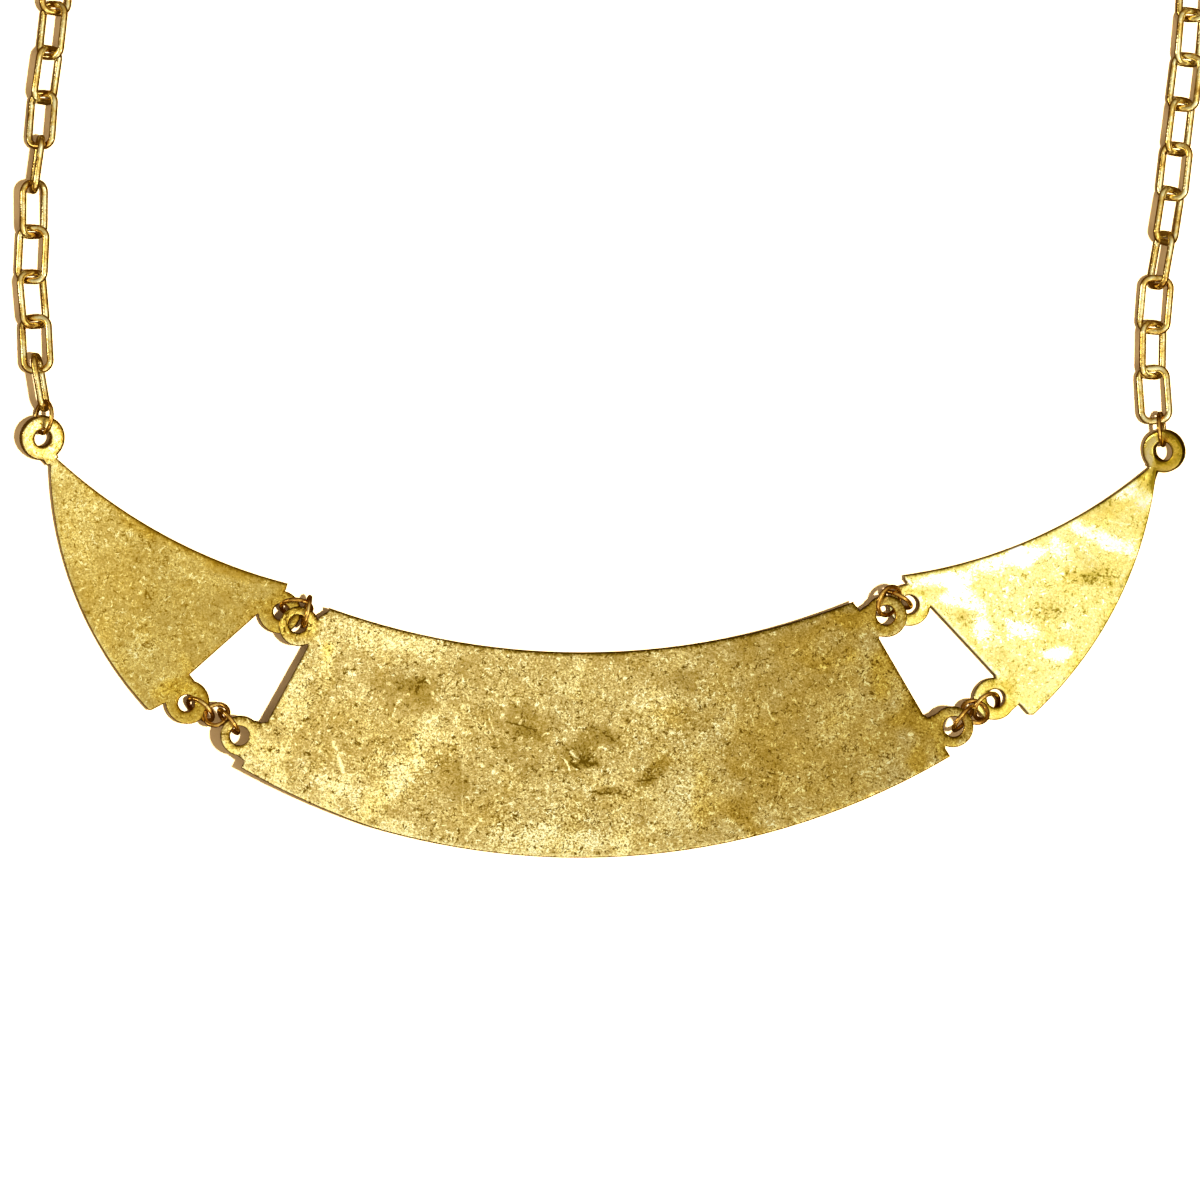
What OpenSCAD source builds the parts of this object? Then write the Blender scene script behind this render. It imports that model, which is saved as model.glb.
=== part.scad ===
/* [Plates] */
// Thickness of the sheet that the plates are cut from
plate_t = 1; // [0.8:0.1:1]
// Radius that every plate is bowed to
bow_r = 200; // [190:5:220]
// Width of the front plate's flat middle, on which the necklace rests
flat_w = 8; // [6:1:8]

/* [Chain] */
// Thickness of the chain's wire
link_wire = 0.9; // [0.7:0.05:0.9]
// Length of a link between the middles of its end bars
link_l = 6.88; // [6.86:0.01:6.9]
// Width of a link between the middles of its long bars
link_w = 3.58; // [3.5:0.02:3.7]
// Radius of a link's corners, at the middle of the wire
link_corner = 1.25; // [1.1:0.05:1.4]
// Distance from joint to joint when the chain is straight
pitch = 5.84; // [5.82:0.01:5.85]
// Links in the plain curve at the back, on each side
back_links = 17; // [16:1:17]
// How far a link at the back is rolled, to one side and the other in turn
back_roll = 26; // [24:1:30]
// How far the second left link lies back inside the first
left_slack = 0.85; // [0.7:0.05:0.9]

/* [Rings and clasp] */
// Thickness of the jump rings' wire
ring_wire = 0.6; // [0.5:0.05:0.6]
// Mean radius of the two rings next to the clasp
clasp_ring_r = 1.9; // [1.85:0.05:1.95]
// Diameter of the clasp's barrel
barrel_d = 4.4; // [4:0.1:4.6]
// Mean radius of the eye at each end of the clasp
eye_r = 1.3; // [1.25:0.05:1.35]
// Thickness of the eyes
eye_wire = 0.7; // [0.6:0.05:0.7]
// Air between pieces that pass through each other
clear = 0.2; // [0.15:0.01:0.22]

/* [Hidden] */

// The drawing below has its own zero near the front plate; this is the middle of the whole loop there
loop_middle = [1.625, 57.347];

// Facets of long curves, of holes and of wires, for the preview mesh
long_fn = 360;
hole_fn = 64;
wire_fn = 32;

// Front plate: arcs of its top and bottom edges as [x, y, radius]
center_top = [-2.2, 89.7, 96.5];
center_bottom = [-2.6, 59.8, 93.3];
// Flatter arc that the bottom edge follows near its left end
center_corner = [2.7, 62.57, 97.6];
center_mid_x = -0.8;
// Its two ends with the necks of the lugs, from the top left corner round to the top right corner
center_ends = [[-35.2, 10], [-35.2, -1.4], [-36.4, -2.2], [-37.95, -6.1], [-43.1, -15.75], [-43.9, -15.86],
               [-45.4, -15.4], [-46.5, -17.6], [-47.2, -19.95], [-46.05, -20.85], [-46.55, -21.85], [-46.55, -39],
               [45.5, -39], [45.5, -20.5], [44.7, -19.2], [45, -16], [43.85, -14.55], [42.5, -15.2],
               [41.85, -14.8], [36.15, -4.95], [37, -2], [36, -0.45], [34.8, -0.55], [33.65, -1.3],
               [32.9, -0.4], [32.9, 10]];
// Lugs as [x, y, radius, hole x, hole y, hole radius]
center_lugs = [[-39, -3.4, 2.6, -39.15, -3.1, 1.17], [-46.55, -17.55, 2.6, -46.65, -17.55, 1.24],
               [45.65, -16.4, 2.67, 45.75, -16.4, 1.3], [37.05, -2.1, 2.73, 37.05, -1.95, 1.24]];

// Left plate: its lowest point, the way that it is bowed along, arcs, ends and lugs
left_low = [-60, 6.8];
left_turn = -48.9;
left_top = [-23.35, 69.7, 69.7];
left_outer = [-24.75, 17.75, 46.65];
left_ends = [[-40.55, 18.6], [-40.55, 2.2], [-40.8, 1.3], [-44.45, -1.8], [-53.3, -9.67], [-52.6, -10.6],
             [-53.4, -12], [-56.55, -13.4], [-58.25, -14.3], [-72.8, -14.3], [-72.8, 17.4], [-71.75, 17.4], [-70.3, 18.6]];
left_lugs = [[-41.6, -1.55, 2.8, -41.35, -1.55, 1.08], [-53.55, -13.25, 2.86, -53.7, -13.4, 1.1]];
left_neck = [[-71.75, 17.4], [-70.3, 18.5], [-70.85, 19.8], [-72.7, 18.75]];
// Lug at the tip as [x, y, z, radius, hole radius, bend up, turn]
left_tip = [-72.4, 21.05, 2.2, 2.92, 1.17, 10, 20];

// Right plate, in the same way
right_low = [59.5, 6.35];
right_turn = 43.5;
right_top = [30.7, 66.3, 63.7];
right_outer = [22.35, 22.1, 50.2];
right_ends = [[39.5, 20], [39.5, 2.6], [40, 2], [43.15, -1.05], [51.35, -9.9], [52.6, -13.4],
              [53.4, -14.4], [54.45, -13.5], [55.65, -14.9], [75.4, -14.9], [75.4, 16.7], [72.4, 16.7], [71, 17.4]];
right_lugs = [[40.15, -0.65, 2.73, 40.15, -0.6, 1.2], [51.2, -12.85, 2.73, 51.4, -12.75, 1.2]];
right_neck = [[72.4, 16.7], [71, 17.4], [71.7, 18.9], [73.6, 17.6]];
right_tip = [73.2, 19.35, 2.3, 2.8, 1.3, 10, -25];

// Jump rings as [x, y, z, heading of the level line across the ring, tilt about that line, mean radius]
ring_upper_left = [[-38.05, -1.51, 3.56, 76.8, 97, 1.95], [-39.4, -1.02, 1.95, -3.6, 57, 1.95]];
ring_upper_right = [[37.46, -0.13, 3.9, 64, 48, 1.95], [38.56, 0.04, 2.16, -27.6, 71.7, 1.95]];
ring_lower_left = [[-51.85, -14.22, 2.02, -39.6, 61.2, 1.95], [-49.7, -14.88, 3.5, 26, 145, 1.59],
                   [-48.1, -15.73, 4.69, -50.9, 75.3, 1.89]];
ring_lower_right = [[50.18, -13.83, 1.8, 48.7, 50, 1.95], [48.62, -14.49, 3.57, 157, 37.2, 1.7],
                    [47.06, -15.34, 4.95, 50.7, 74.2, 1.92]];
ring_tip = [[-72.15, 23.71, 2.52, -95, 57.5, 2.06], [72.85, 22.13, 2.56, -85, 102.5, 2.06]];

// Links in order from the tip, as [heading clockwise from straight up, roll]; a plus roll lifts the left bar
left_links = [[-10, 82], [-3.5, -15], [-5, 37], [3, -16], [1, 43], [8, -80], [4, -31], [8, 49], [6, -38], [6, 26]];
right_links = [[-4, -8], [1, 40], [5, -8], [10, -62], [9, 43], [6.5, -23], [7, 42], [7, -20], [5, 36], [3, -26]];
// Where the first link hangs in its ring
left_start = [-72.12, 25.39];
right_start = [72.12, 23.73];
left_start_z = 2.4;
right_start_z = 2.2;
// Heading of the chain where it meets the clasp
left_end_heading = 88;
right_end_heading = -90;

// Height of a link's middle when it rests on its lower long bar
function rest_z(roll) = link_wire / 2 + link_w / 2 * abs(sin(roll));

// The visible links, then the plain curve at the back with an even turn and the rolls in turn
function all_links(seen, end_heading) =
    let (last = seen[len(seen) - 1], turn = (end_heading - last[0]) / back_links)
    concat(seen, [for (i = [0:back_links - 1])
        [last[0] + (i + 0.5) * turn, (last[1] > 0 ? -1 : 1) * (i % 2 == 0 ? 1 : -1) * back_roll]]);

// Joints of a chain, each one link further along
function joints(links, start, slack, i = 0) =
    i == len(links) ? [start]
    : concat([start], joints(links, start + (pitch - (i == 0 ? slack : 0)) * [sin(links[i][0]), cos(links[i][0])],
                             slack, i + 1));

// Heights of the joints: as high as the steeper of the two links needs, and an even rise over the last two
function joint_heights(links, start_z) =
    let (last = len(links))
    [for (i = [0:last])
        i == 0 ? start_z
        : i == last ? clasp_z
        : i == last - 1 ? (clasp_z + rest_z(back_roll)) / 2
        : max(rest_z(links[i - 1][1]), rest_z(links[i][1]))];

clasp_z = barrel_d / 2;
left_chain = all_links(left_links, left_end_heading);
right_chain = all_links(right_links, right_end_heading);
left_joints = joints(left_chain, left_start, left_slack);
right_joints = joints(right_chain, right_start, 0);
left_z = joint_heights(left_chain, left_start_z);
right_z = joint_heights(right_chain, right_start_z);

// The clasp lies on the line between the chains' last joints
left_end = left_joints[len(left_chain)];
right_end = right_joints[len(right_chain)];
clasp_gap = norm(right_end - left_end);
clasp_turn = atan2(right_end[1] - left_end[1], right_end[0] - left_end[0]);
// Steps along that line from a last joint: middle of the ring, middle of the eye
overhang = (link_l - pitch) / 2;
ring_step = clasp_ring_r + overhang - ring_wire / 2 - link_wire / 2 - clear;
eye_step = ring_step + clasp_ring_r - ring_wire / 2 - eye_wire / 2 - clear + eye_r;
// The eye is sunk into the barrel's end by half its own wire
barrel_l = clasp_gap - 2 * (eye_step + eye_r - eye_wire / 2);

// Walls that the bowed sheet is cut from
sheet_reach = 60;
sheet_h = 20;

module placed() {
    translate([-loop_middle[0], -loop_middle[1], 0]) children();
}

module disc(place) {
    translate([place[0], place[1]]) circle(r = place[2], $fn = long_fn);
}

// One side of a bowed sheet's section, from the flat middle outwards
module bowed_side(side) {
    intersection() {
        translate([side * sheet_reach / 2, sheet_h / 2]) square([sheet_reach, sheet_h], center = true);
        difference() {
            translate([0, bow_r]) circle(r = bow_r, $fn = long_fn);
            translate([0, bow_r]) circle(r = bow_r - plate_t, $fn = long_fn);
        }
    }
}

// Section of a sheet with a flat middle that rises towards both sides
module bowed_section(flat) {
    translate([-flat / 2, 0]) square([flat, plate_t]);
    for (side = [-1, 1]) translate([side * flat / 2, 0]) bowed_side(side);
}

// Section of a sheet that is bowed all the way
module bowed_arc() {
    intersection() {
        translate([0, sheet_h / 2]) square([2 * sheet_reach, sheet_h], center = true);
        difference() {
            translate([0, bow_r]) circle(r = bow_r, $fn = long_fn);
            translate([0, bow_r]) circle(r = bow_r - plate_t, $fn = long_fn);
        }
    }
}

module sheet(low, turn) {
    translate([low[0], low[1], 0])
        rotate([0, 0, turn])
            rotate([90, 0, 0])
                linear_extrude(height = 2 * sheet_reach, center = true) children();
}

module cut_sheet(low, turn, flat) {
    intersection() {
        sheet(low, turn) {
            if (flat > 0) bowed_section(flat);
            else bowed_arc();
        }
        linear_extrude(height = sheet_h) children();
    }
}

// Outline of a plate: ends and outer arc, less the inner arc, with its lugs
module plate_outline(outer, inner, ends, lugs) {
    difference() {
        union() {
            difference() {
                intersection() {
                    disc(outer);
                    polygon(ends);
                }
                disc(inner);
            }
            for (lug = lugs) translate([lug[0], lug[1]]) circle(r = lug[2], $fn = hole_fn);
        }
        for (lug = lugs) translate([lug[3], lug[4]]) circle(r = lug[5], $fn = hole_fn);
    }
}

// Round lug at the tip of a side plate, bent up and turned
module tip_lug(tip) {
    translate([tip[0], tip[1], tip[2]])
        rotate([tip[5], tip[6], 0])
            difference() {
                cylinder(r = tip[3], h = plate_t, center = true, $fn = hole_fn);
                cylinder(r = tip[4], h = 2 * plate_t, center = true, $fn = hole_fn);
            }
}

module side_panel(low, turn, outer, inner, ends, lugs, neck, tip) {
    placed() color("goldenrod") union() {
        cut_sheet(low, turn, 0) {
            plate_outline(outer, inner, ends, lugs);
            polygon(neck);
        }
        tip_lug(tip);
    }
}

module panel_center() {
    placed() color("goldenrod") cut_sheet([center_mid_x, 0], 0, flat_w)
        intersection() {
            disc(center_corner);
            plate_outline(center_bottom, center_top, center_ends, center_lugs);
        }
}

module panel_left() {
    side_panel(left_low, left_turn, left_outer, left_top, left_ends, left_lugs, left_neck, left_tip);
}

module panel_right() {
    side_panel(right_low, right_turn, right_outer, right_top, right_ends, right_lugs, right_neck, right_tip);
}

module torus(mean_r, wire) {
    rotate_extrude($fn = 2 * hole_fn) translate([mean_r, 0]) circle(d = wire, $fn = wire_fn);
}

// A jump ring at its row's place
module jump_ring(row) {
    placed() color("darkgoldenrod")
        translate([row[0], row[1], row[2]])
            rotate([0, 0, row[3]])
                rotate([row[4], 0, 0]) torus(row[5], ring_wire);
}

// A long link in its own plane, along x
module link() {
    straight_l = link_l - 2 * link_corner;
    straight_w = link_w - 2 * link_corner;
    for (side = [-1, 1]) {
        translate([0, side * link_w / 2, 0])
            rotate([0, 90, 0]) cylinder(d = link_wire, h = straight_l, center = true, $fn = wire_fn);
        translate([side * link_l / 2, 0, 0])
            rotate([90, 0, 0]) cylinder(d = link_wire, h = straight_w, center = true, $fn = wire_fn);
    }
    for (corner = [0:3]) {
        quadrant = corner * 90;
        x_side = corner == 0 || corner == 3 ? 1 : -1;
        y_side = corner < 2 ? 1 : -1;
        translate([x_side * straight_l / 2, y_side * straight_w / 2, 0])
            rotate([0, 0, quadrant])
                rotate_extrude(angle = 90, $fn = hole_fn)
                    translate([link_corner, 0]) circle(d = link_wire, $fn = wire_fn);
    }
}

// A link between two joints
module placed_link(from, to, roll) {
    step = to - from;
    translate((from + to) / 2)
        rotate([0, 0, atan2(step[1], step[0])])
            rotate([0, -atan2(step[2], norm([step[0], step[1]])), 0])
                rotate([roll, 0, 0]) link();
}

// Links of full length from their own joints, so the first may reach past the second joint
module chain(links, points, heights) {
    placed() color("gold")
        for (i = [0:len(links) - 1]) {
            to = points[i] + pitch * [sin(links[i][0]), cos(links[i][0])];
            placed_link([points[i][0], points[i][1], heights[i]], [to[0], to[1], heights[i + 1]], links[i][1]);
        }
}

module chain_left() {
    chain(left_chain, left_joints, left_z);
}

module chain_right() {
    chain(right_chain, right_joints, right_z);
}

// Moves its children to the clasp's line, at a step from the left end
module on_clasp_line(step) {
    placed() translate([left_end[0], left_end[1], clasp_z])
        rotate([0, 0, clasp_turn]) translate([step, 0, 0]) children();
}

module clasp_ring(step) {
    on_clasp_line(step) color("darkgoldenrod") rotate([90, 0, 0]) torus(clasp_ring_r, ring_wire);
}

// Barrel clasp: a plain round bar with a narrow groove where its halves meet, and an eye at each end
module clasp() {
    groove_w = 0.3;
    groove_depth = 0.2;
    on_clasp_line(clasp_gap / 2) color("gold") union() {
        difference() {
            rotate([0, 90, 0]) cylinder(d = barrel_d, h = barrel_l, center = true, $fn = hole_fn);
            rotate([0, 90, 0]) difference() {
                cylinder(d = barrel_d + 1, h = groove_w, center = true, $fn = hole_fn);
                cylinder(d = barrel_d - 2 * groove_depth, h = 1, center = true, $fn = hole_fn);
            }
        }
        for (side = [-1, 1])
            translate([side * (clasp_gap / 2 - eye_step), 0, 0]) torus(eye_r, eye_wire);
    }
}

panel_center();
panel_left();
panel_right();
jump_ring(ring_upper_left[0]);  // ring_upper_left_1
jump_ring(ring_upper_left[1]);  // ring_upper_left_2
jump_ring(ring_upper_right[0]);  // ring_upper_right_1
jump_ring(ring_upper_right[1]);  // ring_upper_right_2
jump_ring(ring_lower_left[0]);  // ring_lower_left_1
jump_ring(ring_lower_left[1]);  // ring_lower_left_2
jump_ring(ring_lower_left[2]);  // ring_lower_left_3
jump_ring(ring_lower_right[0]);  // ring_lower_right_1
jump_ring(ring_lower_right[1]);  // ring_lower_right_2
jump_ring(ring_lower_right[2]);  // ring_lower_right_3
jump_ring(ring_tip[0]);  // ring_tip_left
jump_ring(ring_tip[1]);  // ring_tip_right
chain_left();
chain_right();
clasp_ring(ring_step);  // ring_clasp_left
clasp_ring(clasp_gap - ring_step);  // ring_clasp_right
clasp();
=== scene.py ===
"""Panel necklace of gilt brass, laid flat and seen from above with the plates' plain backs up.

Everything is in metres in the CAD frame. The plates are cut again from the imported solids' own outlines as
finely meshed, hammered sheets; links and jump rings are drawn from their solids' places.
"""
import math

import bmesh
import bpy
import numpy as np
from mathutils import Euler, Matrix, Vector, geometry, noise


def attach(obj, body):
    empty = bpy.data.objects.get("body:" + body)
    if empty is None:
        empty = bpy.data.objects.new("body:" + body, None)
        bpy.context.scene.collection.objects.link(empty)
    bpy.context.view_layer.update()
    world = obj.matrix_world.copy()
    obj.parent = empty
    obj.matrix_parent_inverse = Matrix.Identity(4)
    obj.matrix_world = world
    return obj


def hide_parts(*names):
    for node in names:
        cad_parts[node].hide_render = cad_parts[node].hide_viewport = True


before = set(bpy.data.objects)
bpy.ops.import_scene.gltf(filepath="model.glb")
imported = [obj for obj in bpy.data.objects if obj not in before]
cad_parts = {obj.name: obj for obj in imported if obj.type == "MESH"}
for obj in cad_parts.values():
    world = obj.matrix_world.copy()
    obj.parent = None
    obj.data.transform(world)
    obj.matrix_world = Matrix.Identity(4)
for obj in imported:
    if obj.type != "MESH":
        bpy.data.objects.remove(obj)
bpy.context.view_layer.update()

MM = 0.001

# The photograph's frame
PHOTO_PX = 1200
PX = 0.13 * MM  # width of a pixel on the table
FRAME_W = PHOTO_PX * PX
FRAME_CENTER = Vector((-1.625, -57.347, 0)) * MM  # the table's point at the photograph's middle


def photo_point(px, py):
    """The place on the table that a pixel of the photograph shows."""
    half = PHOTO_PX / 2
    return FRAME_CENTER.x + (px - half) * PX, FRAME_CENTER.y + (half - py) * PX


# Small helpers
def colour(code):
    """An sRGB hex colour as linear RGBA."""
    parts = [int(code[i:i + 2], 16) / 255 for i in (1, 3, 5)]
    return (*[p / 12.92 if p <= 0.04045 else ((p + 0.055) / 1.055) ** 2.4 for p in parts], 1.0)


def smoothstep(low, high, value):
    """0 up to the low value, 1 from the high value on, with a soft rise between them."""
    t = np.clip((value - low) / (high - low), 0, 1)
    return t * t * (3 - 2 * t)


def feed(tree, node, inputs):
    """Fills inputs by name or in order with values, outputs, or nodes for their first output."""
    for key, value in inputs.items() if isinstance(inputs, dict) else enumerate(inputs):
        if isinstance(value, bpy.types.Node):
            value = value.outputs[0]
        if isinstance(value, bpy.types.NodeSocket):
            tree.links.new(value, node.inputs[key])
        else:
            node.inputs[key].default_value = value


def add(tree, kind, inputs=(), **settings):
    """Adds a node with its settings and inputs."""
    node = tree.nodes.new(kind)
    for key, value in settings.items():
        setattr(node, key, value)
    feed(tree, node, inputs)
    return node


def new_material(name, metallic):
    """A new material, its node tree and its shader."""
    material = bpy.data.materials.new(name)
    material.use_nodes = True
    shader = material.node_tree.nodes["Principled BSDF"]
    shader.inputs["Metallic"].default_value = metallic
    return material, material.node_tree, shader


def set_tones(ramp, tones):
    """Sets a colour ramp's stops from places and display colours."""
    stops = ramp.color_ramp.elements
    while len(stops) < len(tones):
        stops.new(0.5)
    for stop, (place, code) in zip(stops, tones):
        stop.position = place
        stop.color = colour(code)


def add_object(name, data):
    """Puts a mesh, camera or lamp into the scene."""
    obj = bpy.data.objects.new(name, data)
    bpy.context.scene.collection.objects.link(obj)
    return obj


def cad_bmesh(node, weld):
    """The mesh of a CAD node, with points that are closer than the weld joined."""
    bm = bmesh.new()
    bm.from_mesh(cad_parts[node].data)
    bmesh.ops.remove_doubles(bm, verts=bm.verts, dist=weld)
    return bm


def smooth_mesh(name, bm):
    """The mesh of a bmesh, shaded smooth; the bmesh is freed."""
    mesh = bpy.data.meshes.new(name)
    bm.to_mesh(mesh)
    bm.free()
    mesh.polygons.foreach_set("use_smooth", [True] * len(mesh.polygons))
    mesh.update()
    return mesh


def stands_for(piece, node):
    """Lets a piece ride with the body and stand in for a CAD node."""
    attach(piece, "root")
    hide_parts(node)


# Camera, table and light
CAMERA_H = 1.2  # metres over the table
CAMERA_REACH = 20.0  # metres
SENSOR = 36.0  # mm
TABLE_HALF = 4.0  # metres
TABLE_DROP = 0.02 * MM  # how far the table is under the necklace


def make_camera():
    data = bpy.data.cameras.new("camera")
    data.sensor_width = SENSOR
    data.lens = SENSOR * CAMERA_H / FRAME_W
    data.clip_end = CAMERA_REACH
    camera = add_object("camera", data)
    camera.location = (FRAME_CENTER.x, FRAME_CENTER.y, CAMERA_H)
    bpy.context.scene.camera = camera


def make_table():
    """A plain matt cream table top; the light burns it out to white but for the shadows."""
    material, tree, shader = new_material("matt_cream_table", 0.0)
    feed(tree, shader, {"Base Color": colour("#D2B284"), "Roughness": 0.9, "Specular IOR Level": 0.1})
    corners = [(x * TABLE_HALF, y * TABLE_HALF, 0) for x, y in ((-1, -1), (1, -1), (1, 1), (-1, 1))]
    mesh = bpy.data.meshes.new("table")
    mesh.from_pydata(corners, [], [(0, 1, 2, 3)])
    mesh.transform(Matrix.Translation((0, 0, -TABLE_DROP)))
    mesh.materials.append(material)
    table = add_object("table", mesh)
    table.visible_glossy = False


# Lamps: name, place over the frame's middle in metres, width and height in metres, turn in degrees, power in
# watts, tint, and whether metal mirrors it. The small hard one throws the thin tan shadows to the left.
LAMPS = (
    ("hard_lamp_right", (0.25, -0.03, 1.05), 0.04, 0.04, 0, 56.0, "#FFFFFF", False),
    ("panel_over_right_plate", (0.117, 0.114, 1.18), 0.50, 0.16, 43.5, 0.40, "#FFFDF4", True),
    ("panel_low_right", (0.80, -0.42, 0.92), 0.42, 0.42, 0, 2.0, "#FFFBF0", True),
    ("window_low_left", (-0.95, 0.10, 0.42), 0.50, 0.16, 90, 1.6, "#FFF4DC", True),
    ("panel_low_front", (0.0, -1.1, 0.75), 0.9, 0.10, 0, 1.2, "#FFF8E6", True),
)


def make_light():
    for name, place, width, height, turn, power, tint, mirrored in LAMPS:
        data = bpy.data.lights.new(name, "AREA")
        data.shape = "RECTANGLE"
        data.size, data.size_y = width, height
        data.energy = power
        data.color = colour(tint)[:3]
        lamp = add_object(name, data)
        lamp.location = FRAME_CENTER + Vector(place)
        aim = (-Vector(place)).to_track_quat("-Z", "Y")
        lamp.rotation_euler = (aim @ Euler((0, 0, math.radians(turn))).to_quaternion()).to_euler()
        lamp.visible_camera = False
        lamp.visible_glossy = mirrored


# The room by height of the direction: brown below, tan walls, a pale ceiling above
ROOM_TONES = ((0.0, "#5A3C12"), (0.20, "#86683A"), (0.36, "#A88C5C"), (0.60, "#E0CCA0"), (0.87, "#FFF9EC"))
ROOM_STRENGTH = 0.90
# Above the table the room grows brighter to the right and front, below it the other way
ROOM_LEAN = (0.50, -0.60, 0.0)


def make_room():
    world = bpy.data.worlds.new("studio_room")
    bpy.context.scene.world = world
    world.use_nodes = True
    tree = world.node_tree
    tree.nodes.clear()
    way = add(tree, "ShaderNodeTexCoord").outputs["Generated"]
    height = add(tree, "ShaderNodeSeparateXYZ", {0: way}).outputs["Z"]
    ramp = add(tree, "ShaderNodeValToRGB", {0: height})
    set_tones(ramp, ROOM_TONES)
    lean = add(tree, "ShaderNodeVectorMath", (way, ROOM_LEAN), operation="DOT_PRODUCT").outputs["Value"]
    risen = add(tree, "ShaderNodeMath", (lean, height), operation="MULTIPLY")
    strength = add(tree, "ShaderNodeMath", (risen, ROOM_STRENGTH, ROOM_STRENGTH), operation="MULTIPLY_ADD")
    back = add(tree, "ShaderNodeBackground", {"Color": ramp, "Strength": strength})
    add(tree, "ShaderNodeOutputWorld", {"Surface": back})


# Plates

# The sheet's form, as in the part: bowed to one radius, 1 mm thick
SHEET = 1.0 * MM
BOW_R = 200.0 * MM
NECK_INSIDE = 0.6 * MM  # a tip lug runs into its neck from here inside its radius
NECK_OUTSIDE = 1.6 * MM  # to here outside it
# The fine mesh
EDGE_R = 0.28 * MM  # rounding of the cut edges
EDGE_ROWS = 4  # rows that round each edge
RIM_STEP = 0.34 * MM  # spacing of points along the cut edges
FACE_STEP = 0.42 * MM  # spacing of points over the faces
FACE_CLEAR = 0.6  # least distance of those points from the rim, in steps of the rim
CORNER = math.radians(24)  # a turn sharper than this stays a corner
MITRE = 0.6  # the inset of a corner is cut short where half its turn has a smaller cosine
POINT_BLOCKS = 40  # blocks that a long search is cut into
# How the outlines are read from the solids
WELD = 1e-6 * MM  # points of the solid closer than this are one
FACE_UP = 0.6  # a face whose normal is more upright than this is of the top
JOIN = 1e-5  # mm, points of the outline closer than this are one
FINE_JOIN = 1e-6  # mm, the same in the fine mesh
LEAST_STEP = 1e-3 * MM  # shorter steps of an outline are left out
LEAST_LOOP = 0.5 * MM ** 2  # loops round less than half of this area are left out


class Plate:
    """How one plate lies: the line that it is bowed from, its flat middle and the lug at its tip."""

    def __init__(self, node, low_px, turn, flat=0.0, tip=None):
        self.node = node
        self.low = photo_point(*low_px)
        self.turn = math.radians(turn)
        self.flat = flat
        self.tip = tip

    def beyond_flat(self, x, y):
        """How far points are across the bow from the flat middle."""
        across = (x - self.low[0]) * math.cos(self.turn) + (y - self.low[1]) * math.sin(self.turn)
        return np.maximum(np.abs(across) - self.flat / 2, 0)

    def sheet_top(self, x, y):
        return BOW_R - np.sqrt((BOW_R - SHEET) ** 2 - self.beyond_flat(x, y) ** 2)

    def sheet_bottom(self, x, y):
        return BOW_R - np.sqrt(BOW_R ** 2 - self.beyond_flat(x, y) ** 2)


class TipLug:
    """The round lug at the tip of a side plate, bent up and turned, and where the neck runs into it."""

    def __init__(self, px, height, radius, bend, turn):
        self.x, self.y = photo_point(*px)
        self.height = height
        self.radius = radius
        self.normal = Euler((math.radians(bend), math.radians(turn), 0)).to_matrix() @ Vector((0, 0, 1))

    def share(self, x, y):
        """1 on the lug, 0 on the sheet, between them over the neck."""
        away = np.hypot(x - self.x, y - self.y)
        return 1 - smoothstep(self.radius - NECK_INSIDE, self.radius + NECK_OUTSIDE, away)

    def top(self, x, y):
        n = self.normal
        middle = self.height + SHEET / 2 / n.z
        return middle - ((x - self.x) * n.x + (y - self.y) * n.y) / n.z


# A pixel on the line that a plate is bowed from, and that line's turn from Y in degrees; for a tip lug its
# pixel, height, radius, bend and turn
PLATES = {
    "panel_center": Plate("panel_center", (593.85, 600), 0, flat=8 * MM),
    "panel_left": Plate("panel_left", (138.46, 547.69), -48.9,
                        tip=TipLug((43.08, 438.08), 2.2 * MM, 2.92 * MM, 10, 20)),
    "panel_right": Plate("panel_right", (1057.69, 551.15), 43.5,
                         tip=TipLug((1163.08, 451.15), 2.3 * MM, 2.8 * MM, 10, -25)),
}


def doubled_area(loop):
    """Twice the area inside a closed loop."""
    x, y = loop[:, 0], loop[:, 1]
    return abs(np.dot(x, np.roll(y, -1)) - np.dot(y, np.roll(x, -1)))


def outline_loops(node):
    """The solid's outline seen from above: closed loops of points, the outer one first."""
    bm = cad_bmesh(node, WELD)
    faces = [[v.co.to_2d() / MM for v in f.verts] for f in bm.faces if f.normal.z > FACE_UP]
    bm.free()
    points = [p for f in faces for p in f]
    index = iter(range(len(points)))
    cells = [[next(index) for _ in f] for f in faces]
    verts, _, tris, _, _, origin = geometry.delaunay_2d_cdt(points, [], cells, 0, JOIN)
    uses = {}
    for tri, source in zip(tris, origin):
        if source:
            for a, b in zip(tri, tri[1:] + tri[:1]):
                uses.setdefault((min(a, b), max(a, b)), []).append((a, b))
    onward = {a: b for same in uses.values() if len(same) == 1 for a, b in same}
    loops = []
    while onward:
        start, here = onward.popitem()
        loop = [start]
        while here != start:
            loop.append(here)
            here = onward.pop(here)
        loops.append(np.array([verts[i] for i in loop]) * MM)
    loops = [loop for loop in loops if doubled_area(loop) > LEAST_LOOP]
    return sorted(loops, key=doubled_area, reverse=True)


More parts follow.
